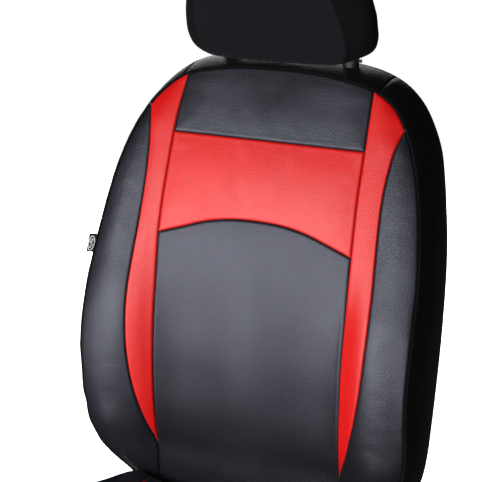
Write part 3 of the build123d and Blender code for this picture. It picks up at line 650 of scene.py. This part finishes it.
# side strips and bolsters
strip_line = line(STRIP_EDGE, 400)
strip_top = along(front_seam, tip_t, corner_t)
grid = raised(coons(straight((142.7, STRIP_FOOT), (142.8, STRIP_FOOT)), strip_top,
                    insert_line(1, STRIP_FOOT, INSERT_TOP), strip_line, marks(36, 4.5),
                    marks(540, 7)))
pair("back_strip_cover", "back_strip", grid, (0, 1, 1, 1), 4, "backrest", RED, 0.85, puff=1.6)


def bolster_inner(t):
    """Insert edge from the hem to the strip's tip, then the strip's outer edge."""
    low = insert_line(1, LOW, STRIP_FOOT)(np.linspace(0, 1, 40))
    both = np.concatenate([low, strip_line(np.linspace(0.01, 1, 300))])
    length = np.r_[0, np.cumsum(np.linalg.norm(np.diff(both, axis=0), axis=1))]
    t = np.asarray(t, float) * length[-1]
    return np.stack([np.interp(t, length, both[:, k]) for k in (0, 1)], -1)


HEM_T = 0.008           # where the outer panels start on the front and rear seams
grid = raised(coons(straight(bolster_inner(0.0), front_seam(HEM_T)),
                    straight(strip_line(1.0), front_seam(corner_t)), bolster_inner,
                    along(front_seam, HEM_T, corner_t), marks(66, 4.5),
                    marks(650, 7, start=False)))
pair("back_bolster_cover", "back_bolster", grid, (0, 0, 1, 1), 6, "backrest", BLACK, 0.9,
     shoulder=5.0, air=6.0, most=0.3, puff=0.8)

# gusset: from the front seam round the side to the rear seam
REAR_OUT = -88.0
rear_seam = line(REAR_SEAM, 800)


def ring(curve, t, out=None):
    """Points of a seam, on the front surface or at one depth."""
    p = curve(t)
    if out is None:
        return raised(p)
    return np.concatenate([p, np.full(p.shape[:-1] + (1,), float(out))], -1)


def gusset_grid(t, swell):
    """The side wall between the two seams, swollen outward from the backrest's middle."""
    front = ring(front_seam, t)
    rear = ring(rear_seam, t, REAR_OUT)
    away = (front + rear) / 2 - np.array([0, 300.0, 0])
    away[:, 2] = 0
    away /= np.linalg.norm(away, axis=1, keepdims=True)
    w = marks(120, 8)
    k = w[None, :, None]
    shape = (np.sin(np.pi * w) * 0.75 + np.sin(np.pi * w**0.45) * 0.5)[None, :, None]
    return front[:, None] * (1 - k) + rear[:, None] * k + away[:, None] * shape * swell[:, None, None]


seam_t = np.linspace(HEM_T, 1, 150)
side_span = seam_t[seam_t < 0.835]
top_span = seam_t[seam_t >= 0.83]
swell = np.interp(side_span, [0, 0.1, 0.16, 0.24, 0.5, 0.7, 0.835], [1, 3, 6, 7.5, 7, 6, 5])
grid = gusset_grid(side_span, swell)
pair("back_gusset_cover", "back_gusset", grid, (0, 0, 1, 1), 8, "backrest", FABRIC, 0.7, air=8.0,
     most=0.9, puff=0.5, slack=1.0, depth=2.6, pucker=0.5)
grid = with_mirror(gusset_grid(top_span, np.full(top_span.shape, 4.0)))
panel("back_gusset_cover_top", ["back_gusset_top"], grid, (0, 0, 1, 1), 10, "backrest", FABRIC, 0.7,
      puff=0.5, slack=0.8, depth=2.6)

# rear panel: a shallow crown inside the rear seam
t = np.linspace(HEM_T, 1, 130)
loop = with_mirror(ring(rear_seam, t, REAR_OUT))
middle = np.stack([loop[:, 0] * 0, np.clip(loop[:, 1], 40, 560), loop[:, 2] * 0 + REAR_OUT], -1)
levels = np.r_[0, 0.01, 0.025, 0.05, 0.09, 0.15, 0.25, 0.4, 0.6, 0.8, 1]
grid = loop[:, None] * (1 - levels)[None, :, None] + middle[:, None] * levels[None, :, None]
grid[..., 2] -= 8.5 * (1 - np.exp(-levels / 0.05))[None]
rear = grid_mesh("back_rear_cover", grid)
finish_piece(rear, "backrest", FABRIC, ["back_rear_panel"])

# closure flap: one strip of cloth from the front hem, under the back and up behind it
flap_line = line([(-57, -62), (-60, -70), (-61.5, -82), (-60, -94), (-52, -100), (-40, -101.5),
                  (-20, -101), (0, -100.5), (20, -100)], 200)(marks(120, 4))
grid = np.empty((len(flap_line), 70, 3))
grid[..., 0] = np.linspace(-160, 160, 70)[None]
grid[..., 1:] = flap_line[:, None]
grid[..., 1] += 0.6 * wobble(grid, 28.0, 31)
grid[..., 2] += 0.6 * wobble(grid, 34.0, 36)
flap = grid_mesh("back_flap_cover", grid)
finish_piece(flap, "backrest", FABRIC, ["back_closure_flap"], thick=1.8)

# map pocket: a pouch that bulges from the rear panel, with a gathered elastic hem
POCKET_HALF, POCKET_LOW, POCKET_TALL = 150, 168, 262
gx, gu = np.meshgrid(POCKET_HALF * (1 - 2 * marks(2 * POCKET_HALF, 7)),
                     POCKET_LOW + POCKET_TALL * marks(POCKET_TALL, 7, end=False))
edge = np.minimum(POCKET_HALF - np.abs(gx), gu - POCKET_LOW)
open_top = np.clip((gu - 330) / 100, 0, 1)
swell = 11.5 * (1 - np.exp(-edge / 16.0)) * (0.7 + 0.3 * open_top)
gather = 0.55 * np.sin(gx / 3.1 + 0.8 * np.sin(gx / 17)) * np.clip((gu - 395) / 35, 0, 1)
sag = -2.5 * (1 - (gx / POCKET_HALF) ** 2) * np.clip((gu - 380) / 50, 0, 1)
grid = np.stack([gx, gu + sag, -98.0 - swell + gather], -1)
panel("back_pocket_cover", ["back_pocket"], grid, (1, 0, 1, 1), 33, "backrest", FABRIC, thick=1.8,
      air=6.0, puff=0.6, depth=1.6, roll=3.0, slack=0.9)
top_edge = grid[-1]
band = []
for turn in np.linspace(0, 2 * np.pi, 15)[:-1]:
    ring_points = top_edge.copy()
    ring_points[:, 1] += 7.5 * np.cos(turn) - 6.0
    ring_points[:, 2] += 1.9 * np.sin(turn) + 0.2
    band.append(ring_points)
hem = np.array(band).transpose(1, 0, 2)
hem_piece = grid_mesh("back_pocket_hem", hem, close_u=True)
finish_piece(hem_piece, "backrest", WEBBING, (), thick=0)

# woven label folded into the side seam, with a plain round mark
LABEL_LOW, LABEL_HIGH = 353.0, 380.0
MARK_X, MARK_UP, MARK_OUT = -254.0, 366.5, 22.9
label_up = np.linspace(LABEL_LOW, LABEL_HIGH, 12)
fold = line([(-238, 22.2), (-246, 22.0), (-254, 22.3), (-258.6, 21.8), (-259.8, 20.6),
             (-258.6, 19.4), (-254, 18.6), (-246, 18.4), (-238, 18.4)], 200)(marks(46, 1.5))
slant = (LABEL_HIGH - label_up)[:, None] * 0.05
grid = np.empty((len(label_up), len(fold), 3))
grid[..., 0] = fold[None, :, 0] - slant
grid[..., 2] = fold[None, :, 1] + 0.35 * np.sin((label_up - LABEL_LOW) / 5.5)[:, None]
grid[..., 1] = label_up[:, None] + 0.5 * np.cos((fold[:, 0] + 252) / 5)[None]
label = grid_mesh("back_label_cover", grid)
finish_piece(label, "backrest", LABEL, ["back_label_tab"], thick=0.6)
turns = np.linspace(0, 2 * np.pi, 41)
mark_ring = np.stack([MARK_X + 4.6 * np.cos(turns) + 1.2 * np.sin(turns),
                      MARK_UP + 10.8 * np.sin(turns), MARK_OUT + 0 * turns], -1)
tube("back_label_ring", mark_ring[:-1], 0.65, "backrest", LABEL_MARK, closed=True, sides=6)
for k, (dx, du) in enumerate(((-1.4, -5.8), (0.5, -2.0), (-0.7, 1.9), (1.2, 5.6))):
    spot = [(MARK_X + dx + 1.5 * math.cos(a), MARK_UP + du + 1.1 * math.sin(a), MARK_OUT)
            for a in np.linspace(0, 2 * np.pi, 15)[:-1]]
    tube(f"back_label_stitch_{k}", spot, 0.55, "backrest", LABEL_MARK, closed=True, sides=6)


# ---- headrest ----
def loop_of(half_points, wider=0.0):
    """A closed line from the bottom centre up the right side and back down the left."""
    half_points = np.asarray(half_points, float)
    left = half_points[::-1].copy()
    left[:, 0] = -left[:, 0] - (wider * np.clip(left[:, 0] / 80, 0, 1)
                                * np.clip((left[:, 1] - 672) / 45, 0, 1))
    return line(np.concatenate([half_points, left[1:]]), 1200)


HEAD_FRONT = loop_of([
    (0, 657, 15), (35, 657, 15), (66, 657.5, 15), (90, 660, 17), (103, 667, 22), (106, 680, 29),
    (102, 697, 37), (95, 717, 45), (88, 740, 54), (83, 772, 61), (74, 798, 63), (62, 812, 62),
    (40, 820, 60.5), (20, 822, 59.5), (0, 822.5, 59),
], wider=20.0)
HEAD_MIDDLE = loop_of([
    (0, 659, -24), (40, 659, -24), (80, 660, -23), (111, 663.5, -18), (127, 673, -9),
    (132.5, 687, 2), (133.5, 708, 13), (132, 738, 22), (128.5, 765, 29), (121, 788, 36),
    (106, 811, 41), (80, 829, 45), (45, 836, 47), (20, 838, 47), (0, 838.5, 47),
])
HEAD_REAR = loop_of([
    (0, 672, -62), (40, 672, -62), (70, 673, -63), (98, 676, -65), (114, 684, -66),
    (121, 698, -62), (120.5, 718, -46), (117, 740, -22), (114, 765, 0), (109, 787, 13),
    (97, 810, 22), (79, 823, 28), (48, 831, 32), (20, 834, 33), (0, 834.5, 33),
])
CORNER_LOW, CORNER_HIGH = 0.148, 0.385      # of the way round, from the bottom centre


def head_panel(loop):
    """A patch inside a closed line, from its four corners."""
    def part(a, b):
        return lambda t: loop((a + (b - a) * np.asarray(t, float)) % 1.0)
    return coons(part(1 - CORNER_LOW, 1 + CORNER_LOW), part(1 - CORNER_HIGH, CORNER_HIGH),
                 part(1 - CORNER_LOW, 1 - CORNER_HIGH), part(CORNER_LOW, CORNER_HIGH),
                 marks(190, 6), marks(150, 6))


grid = head_panel(HEAD_FRONT)
panel("headrest_face_cover", ["headrest_front_panel", "headrest_foam"], grid, (1, 1, 1, 1), 12,
      "headrest", KNIT, 0.95, head_to_world, air=6.0, puff=5.0, depth=0.6, roll=2.5, slack=0.9)
grid = head_panel(HEAD_REAR)[:, ::-1]
panel("headrest_rear_cover", ["headrest_rear_panel"], grid, (1, 1, 1, 1), 13, "headrest", FABRIC,
      0.9, head_to_world, air=7.0, most=0.4, puff=3.5, depth=1.4, roll=3.0, slack=0.9)
t = np.linspace(0, 1, 181)
rings = np.stack([HEAD_FRONT(t), HEAD_MIDDLE(t), HEAD_REAR(t)])
w = marks(120, 7)
grid = hermite(w, np.array([0, 0.42, 1.0]), rings).transpose(1, 0, 2)
swell = normals_of(grid) * (3.0 * np.sin(np.pi * w) ** 0.8)[None, :, None]
panel("headrest_side_cover", ["headrest_gusset"], grid + swell, (0, 0, 1, 1), 14, "headrest",
      FABRIC, 0.9, head_to_world, puff=1.0, depth=0.6, roll=2.5, slack=0.9)

# ---- cushion ----
SEAT_SECTIONS = [
    # y, centre z, then (x, z) of insert edge, strip edge, crest, outer seam
    (-300, 329, 145, 329, 160, 329, 172, 328, 184, 326),
    (-285, 334, 145, 334, 165, 333.5, 180, 332.5, 192, 331),
    (-268, 338.5, 145, 339, 182, 338.5, 191, 337.5, 199, 335.5),
    (-250, 341.5, 145, 343, 193, 345, 206, 344.5, 219, 340),
    (-222, 343.5, 145, 346.5, 190, 352, 210, 353, 232, 346),
    (-185, 343.5, 145, 348, 184.5, 358, 212, 360, 240, 352),
    (-140, 340.5, 145, 346, 181.5, 359.5, 212, 362, 243, 354),
    (-90, 335.5, 145, 341, 179.5, 357, 212, 361, 244, 353),
    (-40, 330, 145, 335.5, 176.5, 352, 210, 356.5, 243, 348),
    (10, 323.5, 145, 328, 172, 343, 208, 348.5, 240.5, 341),
    (50, 317.5, 145, 320.5, 166, 331, 205, 336, 237, 327),
    (90, 311.5, 145, 313.5, 160, 318, 200, 321.5, 229, 312),
    (130, 307, 145, 309, 152, 310, 185, 311.5, 213, 302),
    (150, 305, 145, 309, 149, 310, 170, 314, 193, 307),
    (175, 302, 145, 309, 148, 311, 155, 317, 163, 321),
]
SEAT_SEAM = [
    (0, -286), (60, -285.5), (115, -284), (152, -279.5), (180, -271.5), (203, -259), (221, -241),
    (233, -215), (240, -183), (243, -140), (244, -90), (243, -40), (240.5, 10), (237, 50),
    (229, 90), (214, 128), (193, 150), (166, 162), (120, 166), (60, 167), (0, 167),
]
SEAT_STRIP = [
    (196, -263), (190, -228), (184.5, -185), (181.5, -140), (179.5, -90), (176.5, -40), (172, 10),
    (166, 50), (160, 90), (152, 130), (145.3, 158),
]


def seat_raised(flat):
    """Flat points (x, y) lifted onto the seat's top surface."""
    return np.concatenate([flat, lofted(flat[..., 0], flat[..., 1], SEAT_SECTIONS)[..., None]], -1)


seat_seam = line(SEAT_SEAM, 1200)
seat_table = seat_seam(np.linspace(0, 1, 2000))


def seam_at(axis, value, part):
    """Where the seat's seam passes a value of x or y, within a part of its length."""
    t = np.linspace(0, 1, 2000)
    inside = (t >= part[0]) & (t <= part[1])
    order = np.argsort(seat_table[inside, axis])
    return float(np.interp(value, seat_table[inside, axis][order], t[inside][order]))


t_insert = seam_at(0, 145, (0, 0.3))
t_strip = seam_at(0, 196, (0, 0.3))
t_side = seam_at(1, -225, (0, 0.5))
t_back = seam_at(0, 166, (0.7, 1.0))
t_rear = seam_at(0, 145.3, (0.8, 1.0))


SEAT_INSERT = 145.0     # half width of the seat's centre panel
SEAT_MIDDLE = np.array([0, -60.0])


def seat_end(part):
    """The seam across one end of the seat's centre panel; part is the seam's 0..1 there."""
    half = seat_seam(part)
    return over(SEAT_INSERT, np.r_[-half[:0:-1, 0], half[:, 0]], np.r_[half[:0:-1, 1], half[:, 1]])


seat_front, seat_rear = seat_end(np.linspace(0, 0.3, 600)), seat_end(np.linspace(1.0, 0.7, 600))
front_y = float(seat_front(1.0)[1])
rear_y = float(seat_rear(1.0)[1])
grid = seat_raised(coons(seat_front, seat_rear,
                         straight((-SEAT_INSERT, front_y), (-SEAT_INSERT, rear_y)),
                         straight((SEAT_INSERT, front_y), (SEAT_INSERT, rear_y)),
                         marks(290, 7), marks(460, 7)))
panel("cushion_centre_cover", ["cushion_centre_panel", "cushion_foam"], grid, (1, 1, 1, 1), 15,
      "seat_base", BLACK, 0.9, to_metres, air=6.0, puff=4.5)

strip_out_line = line(SEAT_STRIP, 400)
grid = seat_raised(coons(along(seat_seam, t_insert, t_strip),
                         straight((SEAT_INSERT, 158), (145.3, 158)),
                         straight((SEAT_INSERT, front_y), (SEAT_INSERT, 158)), strip_out_line,
                         marks(40, 4.5), marks(430, 7)))
pair("cushion_strip_cover", "cushion_strip", grid, (1, 0, 1, 1), 16, "seat_base", RED, 0.85,
     to_metres, puff=1.6)

grid = seat_raised(coons(straight(seat_seam(t_strip), seat_seam(t_strip + 0.001)),
                         straight((145.3, 158), seat_seam(t_rear)), strip_out_line,
                         along(seat_seam, t_strip, t_rear), marks(62, 4.5), marks(450, 7)))
pair("cushion_bolster_cover", "cushion_bolster", grid, (0, 1, 1, 1), 18, "seat_base", BLACK, 0.9,
     to_metres, shoulder=7.0, air=6.0, most=0.3, puff=2.6)

HEM = [
    (0, -302), (60, -301.5), (120, -300), (160, -297), (194, -290), (222, -276), (242, -255),
    (252, -222), (257, -180), (259.5, -130), (260, -90), (259.5, -40), (257, 10), (253, 50),
    (246.5, 92), (236, 124), (220, 152), (198, 165), (172, 171), (90, 171.5), (0, 171.5),
]
HEM_Z, WALL_TOP = 187.0, 255.0
seat_hem = line(HEM, 1200)


def skirt_grid(a, b, count):
    """The cover's wall from the top seam down to its hem, along part of its length."""
    t = np.linspace(a, b, count)
    top = seat_raised(seat_seam(t))
    low = seat_hem(t)
    away = low - SEAT_MIDDLE
    away /= np.linalg.norm(away, axis=1, keepdims=True)
    # the hem is cut higher behind, clear of the recliners
    notch = np.clip((low[:, 1] - 99) / 12, 0, 1) * np.clip((np.abs(low[:, 0]) - 168) / 5, 0, 1)
    hem_z = HEM_Z + 70 * notch**0.6
    v = marks(150, 7)
    z = hem_z[None] * (1 - v)[:, None] + top[:, 2][None] * v[:, None]
    # plan position: the full outline up to one height, then drawn in to the top seam
    k = np.clip((z - WALL_TOP) / (top[:, 2][None] - WALL_TOP), 0, 1) ** 1.7
    plan = low[None] * (1 - k[..., None]) + top[None, :, :2] * k[..., None]
    fold = 1.1 * np.sin(t * 260 + 2 * np.sin(t * 41)) * np.clip((235 - z) / 45, 0, 1)
    tuck = -5.0 * np.clip((204 - z) / 17, 0, 1) ** 2
    swell = 2.5 * np.sin(np.pi * np.clip((z - 190) / 140, 0, 1))
    plan = plan + away[None] * (fold + tuck + swell)[..., None]
    return np.concatenate([plan, z[..., None]], -1)


front_half = skirt_grid(0, t_side, 70)
grid = with_mirror(front_half.swapaxes(0, 1)[::-1])[::-1].swapaxes(0, 1)
panel("cushion_front_cover", ["cushion_front_skirt"], grid, (0, 1, 1, 1), 20, "seat_base", BLACK,
      0.8, to_metres, puff=0.8, depth=2.4, slack=1.2)
grid = skirt_grid(t_side, t_back, 90)
pair("cushion_side_cover", "cushion_skirt", grid, (0, 1, 1, 1), 21, "seat_base", FABRIC, 0.7,
     to_metres, puff=0.8, depth=2.4, slack=1.2)
grid = with_mirror(skirt_grid(t_back, 1.0, 36).swapaxes(0, 1)).swapaxes(0, 1)
panel("cushion_rear_cover", ["cushion_rear_flap"], grid, (0, 1, 1, 1), 23, "seat_base", FABRIC, 0.7,
      to_metres, puff=0.8, depth=2.4, slack=1.2)

# elastic in the hem, and the two straps that join the front and rear hems
t = np.linspace(0, 0.86, 160)
half_hem = seat_hem(t)
half_hem = half_hem[half_hem[:, 1] < 100]
loop = np.concatenate([half_hem[::-1] * np.array([-1, 1]), half_hem[1:]])
away = loop - SEAT_MIDDLE
away /= np.linalg.norm(away, axis=1, keepdims=True)
loop = loop - away * 7.6
band = []
for turn in np.linspace(0, 2 * np.pi, 13)[:-1]:
    z = np.full(len(loop), 191.0 + 4.0 * math.sin(turn))
    band.append(np.concatenate([loop + away * (1.1 * math.cos(turn)), z[:, None]], -1))
elastic = grid_mesh("cushion_elastic_cover", np.array(band).transpose(1, 0, 2), to_metres,
                    close_u=True)
finish_piece(elastic, "seat_base", WEBBING, ["cushion_hem_elastic"], thick=0)

STRAP_INNER, STRAP_OUTER, STRAP_FRONT, STRAP_REAR = 108, 133, -291, 163
for side, sign in (("r", 1), ("l", -1)):
    y = np.linspace(STRAP_FRONT, STRAP_REAR, 90)
    z = 190.6 - 2.0 * np.sin(np.pi * (y - STRAP_FRONT) / (STRAP_REAR - STRAP_FRONT))
    x = np.sort(np.linspace(STRAP_INNER, STRAP_OUTER, 11) * sign)
    rib = 0.28 * np.cos(np.linspace(0, 10 * np.pi, 11))
    grid = np.empty((len(y), len(x), 3))
    grid[..., 0] = x[None] + 0.6 * np.sin(y / 60)[:, None]
    grid[..., 1] = y[:, None]
    grid[..., 2] = z[:, None] + rib[None]
    strap = grid_mesh(f"cushion_strap_cover_{side}", grid, to_metres)
    finish_piece(strap, "seat_base", WEBBING, [f"cushion_strap_{side}"], thick=1.3)
    corners = np.array([(104, 20), (137, 20), (137, 44), (104, 44), (104, 20)], float)
    flat = np.concatenate([straight(a, b)(np.linspace(0.12, 0.88, 6))
                           for a, b in zip(corners, corners[1:])])
    buckle = np.array([(sign * px, py, 191.2) for px, py in flat])
    tube(f"cushion_buckle_{side}", buckle, 1.9, "seat_base", PLASTIC, to_metres, closed=True,
         sides=10)
    bar = [(sign * bar_x, 32, 190.2) for bar_x in (104.5, 112, 128, 136.5)]
    tube(f"cushion_buckle_bar_{side}", bar, 1.6, "seat_base", PLASTIC, to_metres, sides=10)


# ---- seam threads, sunk between the panels ----
def seam(name, flat, lift=raised, place=back_to_world, body="backrest", depth=2.8, radius=1.0):
    points = lift(np.asarray(flat, float))
    points[:, 2] -= depth
    tube(name, points, radius, body, THREAD, place, sides=6)


k = np.linspace(0, 1, 90)
seam("back_seam_yoke_top", yoke_line(k))
seam("back_seam_yoke_arch", arch_line(k))
for side, sign in (("r", 1), ("l", -1)):
    flip = np.array([sign, 1.0])
    seam(f"back_seam_insert_{side}", insert_line(1, LOW + 3, INSERT_TOP)(np.linspace(0, 1, 160)) * flip)
    seam(f"back_seam_strip_{side}", strip_line(np.linspace(0, 1, 140)) * flip)
    seam(f"back_seam_front_{side}", front_seam(np.linspace(0.01, 1, 260)) * flip)
    seam(f"cushion_seam_insert_{side}",
         straight((SEAT_INSERT, front_y), (SEAT_INSERT, rear_y))(np.linspace(0, 1, 120)) * flip,
         seat_raised, to_metres, "seat_base")
    seam(f"cushion_seam_strip_{side}", strip_out_line(np.linspace(0, 1, 120)) * flip, seat_raised,
         to_metres, "seat_base")
    seam(f"cushion_seam_top_{side}", seat_seam(np.linspace(0, 1, 260)) * flip, seat_raised,
         to_metres, "seat_base", depth=2.0)


# ---- hard parts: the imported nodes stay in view, with a look of their own ----
HARD_PARTS = [
    (PAINT, ("back_frame", "side_member_l", "side_member_r", "front_cross_tube",
             "rear_cross_tube", "cushion_pan", "rail_release_bar")),
    (ZINC, ("upper_rail_l", "upper_rail_r", "lower_rail_l", "lower_rail_r", "recliner_l",
            "recliner_r", "recliner_pin_l", "recliner_pin_r")),
    (PLASTIC, ("headrest_guide_l", "headrest_guide_r", "headrest_lock_button", "recline_lever",
               "side_shield_l", "side_shield_r")),
    (POSTS, ("headrest_posts",)),
]
for material, names in HARD_PARTS:
    for name in names:
        slots = frame["nodes"][name].data.materials
        slots.clear()
        slots.append(material)

# ---- camera, light and floor ----
camera_data = bpy.data.cameras.new("camera")
camera = bpy.data.objects.new("camera", camera_data)
bpy.context.scene.collection.objects.link(camera)
camera_data.sensor_width = 36
camera_data.lens = 93.5
camera_data.clip_start = 0.05
TO_RIGHT, TO_TOP = (0.93557, 0.35306, -0.00765), (-0.13082, 0.36662, 0.92113)
TO_BACK = (0.32802, -0.86078, 0.38918)
camera.matrix_world = (Matrix.Translation((0.5951, -1.3430, 1.3983))
                       @ Matrix((TO_RIGHT, TO_TOP, TO_BACK)).transposed().to_4x4())
bpy.context.scene.camera = camera


# Soft round boxes: (name, degrees right of the front, degrees up, watts).
SEAT = Vector((0, 0.2, 0.62))
LAMP_AWAY, LAMP_SIZE, LAMP_LOWEST = 2.2, 0.9, 0.3
SOFTBOXES = [
    ("key_low", -24, -8, 29), ("key", -30, 18, 26), ("centre", -5, 18, 15),
    ("right", 20, 18, 15), ("right_low", 20, -8, 13), ("top", -15, 45, 4),
    ("rear", -159, 12, 90),
]
for name, turn, rise, watts in SOFTBOXES:
    a, e = math.radians(turn), math.radians(rise)
    lamp_data = bpy.data.lights.new(name, "AREA")
    lamp_data.energy = watts
    lamp_data.shape = "DISK"
    lamp_data.size = LAMP_SIZE
    lamp = bpy.data.objects.new(name, lamp_data)
    bpy.context.scene.collection.objects.link(lamp)
    lamp.location = SEAT + LAMP_AWAY * Vector((math.sin(a) * math.cos(e),
                                               -math.cos(a) * math.cos(e), math.sin(e)))
    lamp.location.z = max(lamp.location.z, LAMP_LOWEST)
    lamp.rotation_euler = (SEAT - lamp.location).to_track_quat("-Z", "Y").to_euler()

floor_mesh = bpy.data.meshes.new("floor")
floor_mesh.from_pydata([(-8, -8, 0), (8, -8, 0), (8, 8, 0), (-8, 8, 0)], [], [(0, 1, 2, 3)])
floor = bpy.data.objects.new("floor", floor_mesh)
bpy.context.scene.collection.objects.link(floor)
paper, _, _, paper_bsdf = new_material("floor_paper")
paper_bsdf.inputs["Base Color"].default_value = (0.9, 0.9, 0.9, 1)
paper_bsdf.inputs["Roughness"].default_value = 0.9
paper_bsdf.inputs["Specular IOR Level"].default_value = 0.1
paper_bsdf.inputs["Emission Color"].default_value = (1, 1, 1, 1)
paper_bsdf.inputs["Emission Strength"].default_value = 1.0
floor_mesh.materials.append(paper)
floor.visible_diffuse = False
floor.visible_glossy = False

world = bpy.data.worlds.new("studio")
bpy.context.scene.world = world
world.use_nodes = True
world.node_tree.nodes["Background"].inputs["Color"].default_value = (1, 1, 1, 1)
world.node_tree.nodes["Background"].inputs["Strength"].default_value = 1.0
world.cycles_visibility.diffuse = False
world.cycles_visibility.glossy = False
bpy.context.scene.view_settings.view_transform = "Standard"
